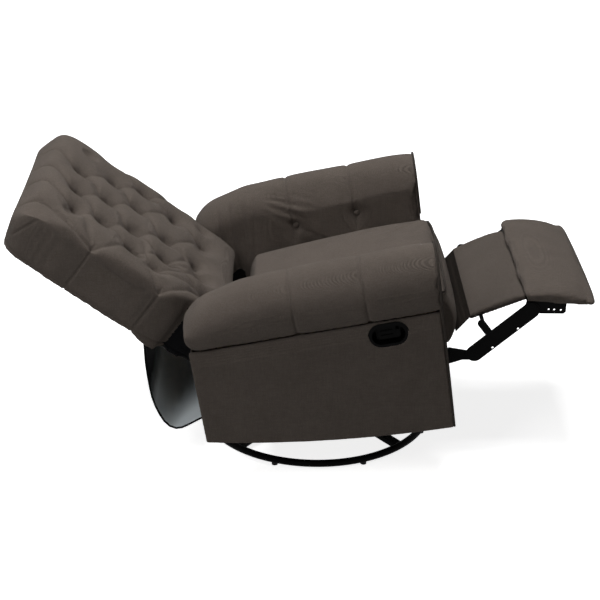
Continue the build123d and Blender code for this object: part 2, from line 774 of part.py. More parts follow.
with BuildPart() as shin_links:
    for s in (-1, 1):
        with BuildSketch(side(s * SHIN_X)):
            slot(FOOT_KNEE, FOOT_ANKLE, 44)
            slot((-430, 368), (-410, 395), 20)
            disc(FOOT_KNEE, PIN_HOLE_R, Mode.SUBTRACT)
            for hole in ((-441, 327), (-503, 380)):
                disc(hole, 3, Mode.SUBTRACT)
        extrude(amount=s * PLATE_T)
        with BuildSketch(tilted_side(s * 205, PANEL_REAR, PANEL_ANGLE)):
            outline([(-30, -13.5), (-20, -13.5), (-20, -10.2), (-30, -10.2)])
        extrude(amount=s * (SHIN_X + PLATE_T - 205))
        with BuildSketch(side(s * THIGH_X)):
            disc(FOOT_ANKLE, PIN_R)
        extrude(amount=s * 4.5)
shin_links.part.label = "shin_links"
export_step(shin_links.part, "parts/shin_links.step")

with BuildPart() as mid_panel:
    with BuildSketch(tilted_side(-PANEL_HALF, PANEL_REAR, PANEL_ANGLE)):
        with BuildLine():
            Polyline((0, -4), (0, -7), (-3, -10), (-PANEL_LENGTH, -10), (-PANEL_LENGTH, -1),
                     (-PANEL_LENGTH + 4, 0))
            ThreePointArc((-PANEL_LENGTH + 4, 0), (-PANEL_LENGTH / 2, 3), (-4, 0))
            Line((-4, 0), (0, -4))
        make_face()
    extrude(amount=2 * PANEL_HALF)
mid_panel.part.label = "mid_panel"
export_step(mid_panel.part, "parts/mid_panel.step")

with BuildPart() as bridge_flap:
    with BuildSketch(side(-PANEL_HALF)):
        outline([(-384, 395), (-381.5, 395), (-357, 367), (-359, 366)])
    extrude(amount=2 * PANEL_HALF)
bridge_flap.part.label = "bridge_flap"
export_step(bridge_flap.part, "parts/bridge_flap.step")

PAD_ANGLE = 4
PAD_HALF = 256
BOARD_LOW = 25
BOARD_TOP = 34


def pad_side(x):
    """Side plane at x through the ankle pin, level with the footrest's board."""
    return tilted_side(x, FOOT_ANKLE, PAD_ANGLE)


with BuildPart() as pad_brackets:
    for s in (-1, 1):
        with BuildSketch(pad_side(s * THIGH_X)):
            outline([(13, BOARD_LOW), (16, 9), (14, -8), (-30, -8), (-84, -5), (-89, 1), (-88, BOARD_LOW)])
            disc((0, 0), 16)
            disc((0, 0), PIN_HOLE_R, Mode.SUBTRACT)
            for along in (-45, -59, -76):
                disc((along, 4.5), 2.6, Mode.SUBTRACT)
        extrude(amount=s * PLATE_T)
        with BuildSketch(pad_side(s * 212)):
            outline([(-88, BOARD_LOW - 3), (13, BOARD_LOW - 3), (13, BOARD_LOW), (-88, BOARD_LOW)])
        extrude(amount=s * (THIGH_X - 212))
pad_brackets.part.label = "pad_brackets"
export_step(pad_brackets.part, "parts/pad_brackets.step")

with BuildPart() as footrest_board:
    with BuildSketch(pad_side(-248)):
        outline([(10, BOARD_LOW), (-141, BOARD_LOW), (-141, BOARD_TOP), (10, BOARD_TOP)])
    extrude(amount=496)
footrest_board.part.label = "footrest_board"
export_step(footrest_board.part, "parts/footrest_board.step")

with BuildPart() as footrest_pad:
    for share in (-1, -0.95, -0.85, -0.6, -0.3, 0, 0.3, 0.6, 0.85, 0.95, 1):
        x = share * PAD_HALF
        inset = edge_rise(x, PAD_HALF, 6, 14)
        drop = edge_rise(x, PAD_HALF, 10) + inset * 0.4
        low = BOARD_TOP + 0.5
        with BuildSketch(pad_side(x)):
            with BuildLine():
                front = (-150 + inset, 47 - drop)
                rear = (12 - inset, 50 - drop)
                Polyline((20 - inset, low), (-146 + inset, low), (-146 + inset, 27 + inset),
                         (-150 + inset, 25 + inset))
                ThreePointArc((-150 + inset, 25 + inset), (-159 + inset, 36 - drop / 2), front)
                ThreePointArc(front, (-70, 57 - drop), rear)
                ThreePointArc(rear, (19 - inset, 45 - drop), (20 - inset, low))
            make_face()
    loft()
footrest_pad.part.label = "footrest_pad"
export_step(footrest_pad.part, "parts/footrest_pad.step")
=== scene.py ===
import math

import bpy
import numpy as np
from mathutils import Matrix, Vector


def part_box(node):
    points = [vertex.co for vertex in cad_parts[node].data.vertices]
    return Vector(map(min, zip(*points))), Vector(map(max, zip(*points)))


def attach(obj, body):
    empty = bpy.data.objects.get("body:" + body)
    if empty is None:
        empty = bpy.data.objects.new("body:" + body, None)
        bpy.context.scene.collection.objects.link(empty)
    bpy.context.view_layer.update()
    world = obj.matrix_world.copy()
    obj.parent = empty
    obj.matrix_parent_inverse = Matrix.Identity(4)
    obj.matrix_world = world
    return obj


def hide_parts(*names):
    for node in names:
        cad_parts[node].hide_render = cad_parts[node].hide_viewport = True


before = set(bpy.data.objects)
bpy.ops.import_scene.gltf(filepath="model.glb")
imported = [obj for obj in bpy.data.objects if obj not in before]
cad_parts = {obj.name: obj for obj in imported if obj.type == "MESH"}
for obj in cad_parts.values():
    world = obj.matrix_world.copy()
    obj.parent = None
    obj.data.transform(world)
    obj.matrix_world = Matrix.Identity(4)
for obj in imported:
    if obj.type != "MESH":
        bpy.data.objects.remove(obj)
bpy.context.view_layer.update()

# Swivel glider recliner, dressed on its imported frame. Lengths in metres.
# y and z of the chair's profile are measured, as in the part's source, from the
# swivel axis and from a line BASE_LINE under the floor.

AXIS_Y = -0.046
BASE_LINE = -0.007

ARM_IN = 0.256
FRONT_CREASE = (-0.291, 0.493)
REAR_CREASE = (0.321, 0.384)

BACK_ORIGIN = (0.391, 0.507)
BACK_ANGLE = math.radians(36.4)
BACK_THICK = 0.142

# ---------------------------------------------------------------- camera

CAMERA_PLACE = (-3.881, 0.0575, 2.105)
CAMERA_LOOK = (0.9104, -0.0136, -0.4135)
CAMERA_LENS_MM = 95.45
SENSOR_MM = 36.0


def add_camera():
    data = bpy.data.cameras.new("photo_camera")
    data.lens = CAMERA_LENS_MM
    data.sensor_width = SENSOR_MM
    camera = bpy.data.objects.new("photo_camera", data)
    camera.location = CAMERA_PLACE
    camera.rotation_euler = Vector(CAMERA_LOOK).to_track_quat("-Z", "Y").to_euler()
    bpy.context.scene.collection.objects.link(camera)
    bpy.context.scene.camera = camera


# ---------------------------------------------------------------- studio

FLOOR_HALF = 9.0
FLOOR_LIFT = 0.84
LIFT_START = 0.9
LIFT_END = 2.2
WORLD_FILL = 0.022
WHITE = (1.0, 1.0, 1.0, 1.0)


def light_path_mix(nodes, links, seen, unseen):
    """Shows one shader to the camera and in reflections, and another to all other rays."""
    path = nodes.new("ShaderNodeLightPath")
    either = nodes.new("ShaderNodeMath")
    either.operation = "MAXIMUM"
    links.new(path.outputs["Is Camera Ray"], either.inputs[0])
    links.new(path.outputs["Is Glossy Ray"], either.inputs[1])
    mix = nodes.new("ShaderNodeMixShader")
    links.new(either.outputs[0], mix.inputs[0])
    links.new(unseen, mix.inputs[1])
    links.new(seen, mix.inputs[2])
    return mix.outputs[0]


def add_world(fill):
    world = bpy.data.worlds.new("studio")
    bpy.context.scene.world = world
    world.use_nodes = True
    nodes, links = world.node_tree.nodes, world.node_tree.links
    nodes.clear()
    white = nodes.new("ShaderNodeBackground")
    dim = nodes.new("ShaderNodeBackground")
    for background, strength in ((white, 1.0), (dim, fill)):
        background.inputs["Color"].default_value = WHITE
        background.inputs["Strength"].default_value = strength
    out = nodes.new("ShaderNodeOutputWorld")
    links.new(light_path_mix(nodes, links, white.outputs[0], dim.outputs[0]), out.inputs[0])


def add_floor():
    """Pale paper that keeps the chair's shadow and turns white away from it."""
    mesh = bpy.data.meshes.new("floor")
    h = FLOOR_HALF
    mesh.from_pydata([(-h, -h, 0), (h, -h, 0), (h, h, 0), (-h, h, 0)], [], [(0, 1, 2, 3)])
    floor = bpy.data.objects.new("floor", mesh)
    bpy.context.scene.collection.objects.link(floor)
    material = bpy.data.materials.new("floor_paper")
    material.use_nodes = True
    nodes, links = material.node_tree.nodes, material.node_tree.links
    nodes.clear()
    bright = nodes.new("ShaderNodeBsdfDiffuse")
    bright.inputs["Color"].default_value = (0.93, 0.93, 0.93, 1.0)
    lift = nodes.new("ShaderNodeEmission")
    from_middle = nodes.new("ShaderNodeVectorMath")
    from_middle.operation = "LENGTH"
    links.new(nodes.new("ShaderNodeTexCoord").outputs["Object"], from_middle.inputs[0])
    spread = nodes.new("ShaderNodeMapRange")
    spread.inputs["From Min"].default_value = LIFT_START
    spread.inputs["From Max"].default_value = LIFT_END
    spread.inputs["To Min"].default_value = FLOOR_LIFT
    spread.inputs["To Max"].default_value = 1.0
    links.new(from_middle.outputs["Value"], spread.inputs["Value"])
    links.new(spread.outputs["Result"], lift.inputs["Strength"])
    seen = nodes.new("ShaderNodeAddShader")
    links.new(bright.outputs[0], seen.inputs[0])
    links.new(lift.outputs[0], seen.inputs[1])
    grey = nodes.new("ShaderNodeBsdfDiffuse")
    grey.inputs["Color"].default_value = (0.45, 0.45, 0.45, 1.0)
    out = nodes.new("ShaderNodeOutputMaterial")
    links.new(light_path_mix(nodes, links, seen.outputs[0], grey.outputs[0]), out.inputs[0])
    mesh.materials.append(material)


def add_area(name, place, target, size, power):
    data = bpy.data.lights.new(name, "AREA")
    data.shape = "RECTANGLE"
    data.size, data.size_y = size
    data.energy = power
    lamp = bpy.data.objects.new(name, data)
    lamp.location = place
    lamp.rotation_euler = (Vector(target) - Vector(place)).to_track_quat("-Z", "Y").to_euler()
    bpy.context.scene.collection.objects.link(lamp)


add_camera()
add_world(WORLD_FILL)
add_floor()
add_area("overhead", (0.1, 0.0, 3.9), (0, 0, 0.4), (2.0, 2.0), 134)
add_area("side_light", (-2.2, 1.9, 2.8), (0, 0.4, 0.5), (1.8, 1.8), 46)
bpy.context.scene.view_settings.view_transform = "Standard"

# ---------------------------------------------------------------- materials


class Shader:
    """A material being built: a principled shader and short calls for its nodes."""

    def __init__(self, name, roughness=0.5, metallic=0.0):
        self.material = bpy.data.materials.new(name)
        self.material.use_nodes = True
        self.nodes = self.material.node_tree.nodes
        self.links = self.material.node_tree.links
        self.surface = self.nodes["Principled BSDF"]
        self.surface.inputs["Roughness"].default_value = roughness
        self.surface.inputs["Metallic"].default_value = metallic
        self.place = self.nodes.new("ShaderNodeTexCoord").outputs["Object"]

    def noise(self, scale, detail=3.0, stretch=(1.0, 1.0, 1.0)):
        mapping = self.nodes.new("ShaderNodeMapping")
        mapping.inputs["Scale"].default_value = stretch
        self.links.new(self.place, mapping.inputs["Vector"])
        node = self.nodes.new("ShaderNodeTexNoise")
        node.inputs["Scale"].default_value = scale
        node.inputs["Detail"].default_value = detail
        self.links.new(mapping.outputs[0], node.inputs["Vector"])
        return node.outputs["Fac"]

    def math(self, operation, a, b=0.0, c=0.0):
        node = self.nodes.new("ShaderNodeMath")
        node.operation = operation
        for socket, value in zip(node.inputs, (a, b, c)):
            if isinstance(value, (int, float)):
                socket.default_value = value
            else:
                self.links.new(value, socket)
        return node.outputs[0]

    def ramp(self, factor, stops):
        """Colours at given places along a factor."""
        node = self.nodes.new("ShaderNodeValToRGB")
        ramp = node.color_ramp
        while len(ramp.elements) < len(stops):
            ramp.elements.new(0.5)
        for element, (position, colour) in zip(ramp.elements, stops):
            element.position = position
            element.color = (*colour, 1.0)
        self.links.new(factor, node.inputs["Fac"])
        return node.outputs["Color"]

    def multiply(self, first, second, share=1.0):
        node = self.nodes.new("ShaderNodeMix")
        node.data_type = "RGBA"
        node.blend_type = "MULTIPLY"
        node.inputs["Factor"].default_value = share
        self.links.new(first, node.inputs["A"])
        self.links.new(second, node.inputs["B"])
        return node.outputs["Result"]

    def colour(self, output):
        self.links.new(output, self.surface.inputs["Base Color"])

    def rough(self, factor, low, high):
        self.links.new(self.math("MULTIPLY_ADD", factor, high - low, low), self.surface.inputs["Roughness"])

    def bump(self, height, depth, strength=1.0):
        node = self.nodes.new("ShaderNodeBump")
        node.inputs["Distance"].default_value = depth
        node.inputs["Strength"].default_value = strength
        self.links.new(height, node.inputs["Height"])
        self.links.new(node.outputs["Normal"], self.surface.inputs["Normal"])
        return node


def scaled(colour, factor):
    return tuple(c * factor for c in colour)


def weave(shader, pitch):
    """Height of crossing threads on a surface facing any way."""
    split = shader.nodes.new("ShaderNodeSeparateXYZ")
    shader.links.new(shader.place, split.inputs[0])
    turn = 2 * math.pi / pitch
    waves = [shader.math("SINE", shader.math("MULTIPLY", split.outputs[i], turn)) for i in range(3)]
    crossings = [shader.math("MULTIPLY", waves[i], waves[(i + 1) % 3]) for i in range(3)]
    return shader.math("ADD", shader.math("ADD", crossings[0], crossings[1]), crossings[2])


def cloth(name, colour, pitch=0.0016, mottle=0.16, sheen=0.06):
    """Woven upholstery: crossing threads, flecks of lighter and darker yarn, slubs and cloudy patches."""
    shader = Shader(name, roughness=0.88)
    flecks = shader.ramp(shader.noise(620, 2.0), [(0.30, scaled(colour, 1 - mottle)), (0.5, colour),
                                                  (0.70, scaled(colour, 1 + mottle))])
    clouds = shader.ramp(shader.noise(14, 4.0), [(0.25, (0.88, 0.88, 0.88)), (0.75, (1.0, 1.0, 1.0))])
    along_y = shader.noise(330, 2.0, (1.0, 0.12, 1.0))
    along_z = shader.noise(330, 2.0, (1.0, 1.0, 0.12))
    slubs = shader.math("MULTIPLY", along_y, along_z)
    yarns = shader.ramp(slubs, [(0.14, (0.91, 0.91, 0.91)), (0.36, (1.04, 1.04, 1.04))])
    shader.colour(shader.multiply(shader.multiply(flecks, clouds), yarns))
    threads = shader.math("ADD", weave(shader, pitch), shader.math("MULTIPLY", shader.noise(900, 3.0), 1.2))
    shader.bump(threads, 0.00035)
    shader.surface.inputs["Sheen Weight"].default_value = sheen
    shader.surface.inputs["Sheen Roughness"].default_value = 0.5
    shader.surface.inputs["Specular IOR Level"].default_value = 0.03
    return shader.material


def lining(name, pale, dark, low, high):
    """Smooth lining, pale up to the height low and black from the height high; the black is painted shade of
    the hollow under the back.
    """
    shader = Shader(name, roughness=0.8)
    split = shader.nodes.new("ShaderNodeSeparateXYZ")
    shader.links.new(shader.place, split.inputs[0])
    wavy = shader.math("MULTIPLY_ADD", shader.noise(9, 3.0), 0.03, split.outputs[2])
    share = shader.math("DIVIDE", shader.math("SUBTRACT", wavy, low + 0.015), high - low)
    shader.colour(shader.ramp(share, [(0.0, pale), (0.5, scaled(pale, 0.25)), (1.0, dark)]))
    shader.bump(shader.noise(500, 3.0), 0.0003)
    shader.surface.inputs["Specular IOR Level"].default_value = 0.03
    return shader.material


def paint(name, colour, roughness, shine=0.12):
    """Sprayed or moulded finish with a fine orange peel."""
    shader = Shader(name, roughness=roughness)
    cloudy = shader.noise(30, 4.0)
    shader.colour(shader.ramp(cloudy, [(0.3, scaled(colour, 0.8)), (0.7, scaled(colour, 1.25))]))
    shader.rough(shader.noise(60, 3.0), roughness - 0.07, roughness + 0.07)
    shader.bump(shader.noise(700, 2.0), 0.0001, 0.5)
    shader.surface.inputs["Specular IOR Level"].default_value = shine
    return shader.material


def plated(name, colour):
    """Zinc-plated steel, slightly cloudy, with fine turning marks."""
    shader = Shader(name, roughness=0.3, metallic=1.0)
    shader.colour(shader.ramp(shader.noise(80, 5.0), [(0.3, scaled(colour, 0.75)), (0.7, colour)]))
    shader.rough(shader.noise(160, 3.0), 0.22, 0.42)
    shader.bump(shader.noise(400, 3.0, (1.0, 6.0, 6.0)), 0.0001, 0.6)
    return shader.material


def timber(name, pale, dark, grain):
    """Raw wood with its grain drawn out along one direction."""
    shader = Shader(name, roughness=0.68)
    fibre = shader.noise(60, 6.0, grain)
    bands = shader.ramp(fibre, [(0.35, dark), (0.5, pale), (0.68, scaled(pale, 0.86))])
    shader.colour(shader.multiply(bands, shader.ramp(shader.noise(7, 3.0), [(0.3, (0.85, 0.84, 0.82)),
                                                                            (0.7, (1.0, 1.0, 1.0))])))
    shader.bump(fibre, 0.0004)
    return shader.material


FABRIC_COLOUR = (0.138, 0.114, 0.097)
FABRIC = cloth("fabric_taupe", FABRIC_COLOUR)
# The cover's colour at 0.82 for the mid panel: painted shade, as the panel faces up and to the rear.
PANEL_FABRIC_PAINTED_SHADE = cloth("fabric_panel_painted_shade", scaled(FABRIC_COLOUR, 0.82))
# A fifth of the cover's colour and no sheen: painted shade, for the flap under the seat's front edge and the
# mid panel's rear end.
PAINTED_SHADE_FABRIC = cloth("fabric_flap_painted_shade", scaled(FABRIC_COLOUR, 0.20), sheen=0.0)
# Piping at 0.45 of the cover's colour: painted shade along the cord.
WELT_PAINTED_SHADE = cloth("fabric_welt_painted_shade", scaled(FABRIC_COLOUR, 0.45), pitch=0.0011)
# Pale lining turning black upwards: painted shade inside the hollow under the back.
LINING_PAINTED_SHADE = lining("lining_grey_painted_shade", (0.72, 0.78, 0.81), (0.006, 0.006, 0.007), 0.150, 0.215)
# Black cloth for the binding and the frame nodes, also painted shade on the lower back between the arms.
DUST_COVER_AND_PAINTED_SHADE = cloth("dust_cover_black_and_painted_shade", (0.010, 0.010, 0.011), pitch=0.0009, mottle=0.2, sheen=0.0)
BLACK_STEEL = paint("steel_black", (0.003, 0.003, 0.003), 0.42, shine=0.02)
ZINC = plated("steel_dark", (0.030, 0.030, 0.032))
SPRING_WIRE = plated("spring_wire", (0.16, 0.16, 0.17))
GLOSS_PLASTIC = paint("plastic_gloss_black", (0.0015, 0.0015, 0.0015), 0.17, shine=0.02)
NYLON = paint("nylon_black", (0.010, 0.010, 0.011), 0.5)
PINE = timber("wood_pine", (0.52, 0.36, 0.20), (0.36, 0.22, 0.11), (0.25, 6.0, 6.0))
PLYWOOD = timber("wood_ply", (0.46, 0.33, 0.20), (0.30, 0.20, 0.11), (6.0, 0.3, 6.0))

NODE_MATERIALS = {
    BLACK_STEEL: ("base_ring", "base_crossbars", "swivel_lower_plate", "swivel_upper_plate", "glider_base",
                  "glider_front_links", "glider_rear_links", "glider_carriage", "tilt_brackets",
                  "mechanism_plates", "mechanism_pins", "thigh_links", "shin_links", "pad_brackets",
                  "back_brackets"),
    ZINC: ("swivel_post", "glider_top_pins", "carriage_pins"),
    SPRING_WIRE: ("seat_springs",),
    GLOSS_PLASTIC: ("handle_cup", "handle_paddle"),
    NYLON: ("base_glides", "release_cable"),
    PINE: ("rear_rail", "arm_posts_right", "arm_posts_left"),
    FABRIC: ("footrest_board",),
    DUST_COVER_AND_PAINTED_SHADE: ("back_frame", "seat_rails"),
    PLYWOOD: ("arm_ply_right", "arm_ply_left"),
}


def finish_nodes():
    """Gives every carried-over node its material."""
    for material, names in NODE_MATERIALS.items():
        for name in names:
            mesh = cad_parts[name].data
            mesh.materials.clear()
            mesh.materials.append(material)


finish_nodes()

# ---------------------------------------------------------------- mesh tools


def points_of(obj):
    co = np.empty(len(obj.data.vertices) * 3, np.float32)
    obj.data.vertices.foreach_get("co", co)
    return co.reshape(-1, 3).astype(np.float64)


def normals_of(obj):
    normals = np.empty(len(obj.data.vertices) * 3, np.float32)
    obj.data.vertices.foreach_get("normal", normals)
    return normals.reshape(-1, 3).astype(np.float64)


def set_points(obj, co):
    obj.data.vertices.foreach_set("co", co.astype(np.float32).ravel())
    obj.data.update()


def apply_modifiers(obj):
    bpy.context.view_layer.update()
    graph = bpy.context.evaluated_depsgraph_get()
    mesh = bpy.data.meshes.new_from_object(obj.evaluated_get(graph))
    mesh.name = obj.name
    obj.modifiers.clear()
    obj.data = mesh


def add_modifier(obj, kind, **settings):
    modifier = obj.modifiers.new(kind.lower(), kind)
    for key, value in settings.items():
        setattr(modifier, key, value)
    return modifier


def new_piece(name, mesh):
    obj = bpy.data.objects.new(name, mesh)
    bpy.context.scene.collection.objects.link(obj)
    return obj


def merged_copy(name, nodes):
    """One mesh with the surfaces of some nodes of the frame."""
    vertices, faces, start = [], [], 0
    for node in nodes:
        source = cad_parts[node].data
        vertices += [tuple(v.co) for v in source.vertices]
        faces += [tuple(start + i for i in p.vertices) for p in source.polygons]
        start = len(vertices)
    mesh = bpy.data.meshes.new(name)
    mesh.from_pydata(vertices, [], faces)
    return new_piece(name, mesh)


def soft_copy(name, nodes, voxel, rounding, reshape=None):
    """Even quad mesh in the shape of some nodes, with its corners rounded off."""
    obj = merged_copy(name, nodes)
    if reshape:
        set_points(obj, reshape(points_of(obj)))
    add_modifier(obj, "REMESH", mode="VOXEL", voxel_size=voxel)
    add_modifier(obj, "SMOOTH", factor=0.5, iterations=rounding)
    apply_modifiers(obj)
    return obj


def grow(obj, amount):
    """Moves the surface outwards, for what rounding took off or for thicker padding."""
    set_points(obj, points_of(obj) + amount * normals_of(obj))


def finer(obj, levels=1):
    add_modifier(obj, "SUBSURF", levels=levels, render_levels=levels)
    apply_modifiers(obj)


def cord(name, paths, radius, sides=10):
    """Piping: round cords along lines of points."""
    vertices, faces = [], []
    for path in paths:
        points = [Vector(p) for p in path]
        start = len(vertices)
        across = (points[1] - points[0]).orthogonal().normalized()
        for i, point in enumerate(points):
            run = (points[min(i + 1, len(points) - 1)] - points[max(i - 1, 0)]).normalized()
            across = (across - run * across.dot(run)).normalized()
            other = run.cross(across)
            for k in range(sides):
                angle = 2 * math.pi * k / sides
                vertices.append(tuple(point + (across * math.cos(angle) + other * math.sin(angle)) * radius))
        for i in range(len(points) - 1):
            for k in range(sides):
                a, b = start + i * sides + k, start + i * sides + (k + 1) % sides
                faces.append((a, b, b + sides, a + sides))
        faces.append(tuple(reversed(range(start, start + sides))))
        faces.append(tuple(range(start + (len(points) - 1) * sides, start + len(points) * sides)))
    mesh = bpy.data.meshes.new(name)
    mesh.from_pydata(vertices, [], faces)
    return new_piece(name, mesh)


def dressed(obj, material, body, nodes):
    """Last steps of a piece: material, smooth shading, what it rides on and stands for."""
    obj.data.materials.clear()
    obj.data.materials.append(material)
    obj.data.shade_smooth()
    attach(obj, body)
    if nodes:
        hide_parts(*nodes)
    return obj


PUFF_FRAMES = 20


def puff(obj, pressure, cap, held):
    """Swells a mesh as filled cloth. held is 1 where it is sewn down; no point moves more than cap."""
    before = points_of(obj)
    group = obj.vertex_groups.new(name="held")
    for level in (0.35, 0.7, 1.0):
        chosen = np.nonzero(held >= level - 0.3)[0]
        group.add(chosen.tolist(), level, "REPLACE")
    modifier = add_modifier(obj, "CLOTH")
    settings = modifier.settings
    settings.quality = 5
    settings.mass = 0.4
    settings.use_pressure = True
    settings.uniform_pressure_force = pressure
    settings.tension_stiffness = 12
    settings.compression_stiffness = 12
    settings.shear_stiffness = 6
    settings.bending_stiffness = 0.4
    settings.vertex_group_mass = "held"
    settings.effector_weights.gravity = 0.0
    modifier.collision_settings.use_collision = False
    scene = bpy.context.scene
    modifier.point_cache.frame_start = 1
    modifier.point_cache.frame_end = PUFF_FRAMES
    for number in range(1, PUFF_FRAMES + 1):
        scene.frame_set(number)
    apply_modifiers(obj)
    scene.frame_set(1)
    move = points_of(obj) - before
    length = np.linalg.norm(move, axis=1, keepdims=True)
    set_points(obj, before + move * np.minimum(1.0, cap / np.maximum(length, 1e-9)))


def smoothstep(value, low, high):
    t = np.clip((value - low) / (high - low), 0.0, 1.0)
    return t * t * (3 - 2 * t)


def bell(distance, width, sharpness=2.0):
    return np.exp(-np.abs(distance / width) ** sharpness)


def profile(co):
    """y and z of points, as the part's profiles give them."""
    return co[:, 1] - AXIS_Y, co[:, 2] - BASE_LINE


def row_point(x, y, z):
    return (x, AXIS_Y + y, BASE_LINE + z)


# ---------------------------------------------------------------- back

BACK_U = np.array((0.0, math.cos(BACK_ANGLE), math.sin(BACK_ANGLE)))
BACK_W = np.array((0.0, -math.sin(BACK_ANGLE), math.cos(BACK_ANGLE)))
BACK_ZERO = np.array(row_point(0.0, *BACK_ORIGIN))

# Rows of sewn tufts as (x, u) up the back; the outer ones of two rows sit on the edge
TUFT_ROWS = (
    ((-0.158, 0.275), (-0.048, 0.282), (0.080, 0.290)),
    ((-0.284, 0.198), (-0.137, 0.198), (0.007, 0.198), (0.150, 0.192), (0.284, 0.205)),
    ((-0.185, 0.100), (-0.078, 0.116), (0.078, 0.112), (0.205, 0.100)),
    ((-0.284, 0.000), (-0.205, 0.030), (-0.120, 0.008), (-0.005, 0.014), (0.175, -0.004), (0.284, 0.0)),
    ((-0.170, -0.125), (-0.090, -0.105), (-0.028, -0.085), (0.118, -0.100)),
)
EDGE_TUFT = 0.28
TOP_PLEAT_LEAN = 0.075
TOP_PLEAT_END = 0.405
FACE_RISE = 0.022
BETWEEN_ARMS = 0.2535


def back_coords(co):
    offset = co - BACK_ZERO
    return co[:, 0], offset @ BACK_U, offset @ BACK_W


def back_outline(co):
    """The foam block stretched back to the rear cover, its top end sloped and its wings filled out below."""
    x, u, w = back_coords(co)
    start, foam_end = -0.060, -0.110
    depth = np.minimum(w - start, 0.0)
    extra = depth * ((BACK_THICK + start) / (start - foam_end) - 1.0)
    slope = -0.020 * smoothstep(-w, 0.060, 0.108) * smoothstep(u, 0.25, 0.39)
    moved = co + extra[:, None] * BACK_W + slope[:, None] * BACK_U
    outer = smoothstep(np.abs(x), 0.246, 0.256)
    low = outer * smoothstep(-u, -0.01, 0.05)
    rear = smoothstep(-w, 0.03, 0.108)
    moved += (-0.016 * low * rear)[:, None] * BACK_W
    moved += (-0.010 * low * smoothstep(-w, 0.0, 0.05))[:, None] * BACK_U
    moved[:, 0] += np.sign(x) * 0.013 * outer * smoothstep(-u, 0.03, 0.066) * smoothstep(-w, -0.01, 0.04)
    return moved


def tuft_folds():
    """Folds of the cover as (start, end, depth, bow), between neighbouring rows and up to the top end."""
    folds = []
    for upper, lower in zip(TUFT_ROWS, TUFT_ROWS[1:]):
        for a in upper:
            for b in lower:
                if abs(a[0] - b[0]) < 0.135 and abs(a[0]) + abs(b[0]) < 0.5:
                    strong = b[0] < a[0]
                    folds.append((a, b, 1.0 if strong else 0.6, 0.007 if strong else -0.003))
    for x, u in TUFT_ROWS[0] + TUFT_ROWS[1][:1]:
        folds.append(((x + TOP_PLEAT_LEAN, TOP_PLEAT_END), (x, u), 1.0, 0.009))
    return folds


def to_fold(p, a, b, bow):
    """Distance of points from an S-shaped line between a and b, and the share along it."""
    a, b = np.array(a), np.array(b)
    length = np.linalg.norm(b - a)
    along_unit = (b - a) / length
    across_unit = np.array((-along_unit[1], along_unit[0]))
    run = (p - a) @ along_unit
    along = np.clip(run / length, 0.0, 1.0)
    across = (p - a) @ across_unit - bow * np.sin(2 * math.pi * along)
    return np.hypot(across, run - along * length), along


def tufted_face(co, normals):
    """How far each point of the back's cover stands out along w."""
    x, u, w = back_coords(co)
    front = smoothstep(normals @ BACK_W, 0.15, 0.75) * smoothstep(w, -0.075, -0.02)
    p = np.stack([x, u], axis=1)
    crown = 0.018 * (1 - np.clip(np.abs(x) / 0.277, 0, 1) ** 2)
    edge = smoothstep(np.abs(x), 0.225, 0.29) * 0.010
    corner = 0.028 * smoothstep(-x, 0.16, 0.285) * smoothstep(u, 0.25, 0.375)
    rise = FACE_RISE - crown - edge - corner
    fold = np.zeros(len(co))
    for a, b, strength, bow in tuft_folds():
        distance, along = to_fold(p, a, b, bow)
        depth = strength * (0.010 + 0.004 * np.abs(2 * along - 1) ** 2)
        fold = np.maximum(fold, depth * bell(distance, 0.012, 1.2))
    pit = np.zeros(len(co))
    for row in TUFT_ROWS:
        for centre in row:
            away = np.linalg.norm(p - np.array(centre), axis=1)
            deep = 0.018 if abs(centre[0]) > EDGE_TUFT else 0.036
            pit = np.maximum(pit, deep * bell(away, 0.024, 1.15))
    return (rise - np.maximum(fold, pit) - 0.25 * np.minimum(fold, pit)) * front


def sharp_folds(co, normals):
    """The thin creases at the bottom of the folds, cut after the cover is filled."""
    x, u, w = back_coords(co)
    front = smoothstep(normals @ BACK_W, 0.0, 0.5) * smoothstep(w, -0.10, -0.05)
    p = np.stack([x, u], axis=1)
    depth = np.zeros(len(co))
    for a, b, strength, bow in tuft_folds():
        distance, along = to_fold(p, a, b, bow)
        depth = np.maximum(depth, strength * 0.0055 * bell(distance, 0.0042, 1.1))
    for row in TUFT_ROWS:
        for centre in row:
            away = np.linalg.norm(p - np.array(centre), axis=1)
            deep = 0.003 if abs(centre[0]) > EDGE_TUFT else 0.009
            depth = np.maximum(depth, deep * bell(away, 0.0085, 1.4))
    return depth * front


def back_seams(co):
    """Shallow lines where the side bands, the top corners and the rear cover are sewn."""
    x, u, w = back_coords(co)
    side = smoothstep(np.abs(x), 0.262, 0.280)
    lines = np.zeros(len(co))
    for seam_u in (0.199, 0.0):
        lines = np.maximum(lines, bell(u - seam_u, 0.0028) * side * (w < 0.0))
    corner = np.abs((u - 0.352) * 0.93 + (w + 0.028) * 0.36)
    lines = np.maximum(lines, bell(corner, 0.0028) * side * smoothstep(-w, 0.015, 0.030))
    rear = bell(w + BACK_THICK - 0.012, 0.003)
    return 0.0028 * np.maximum(lines, rear * 0.9)


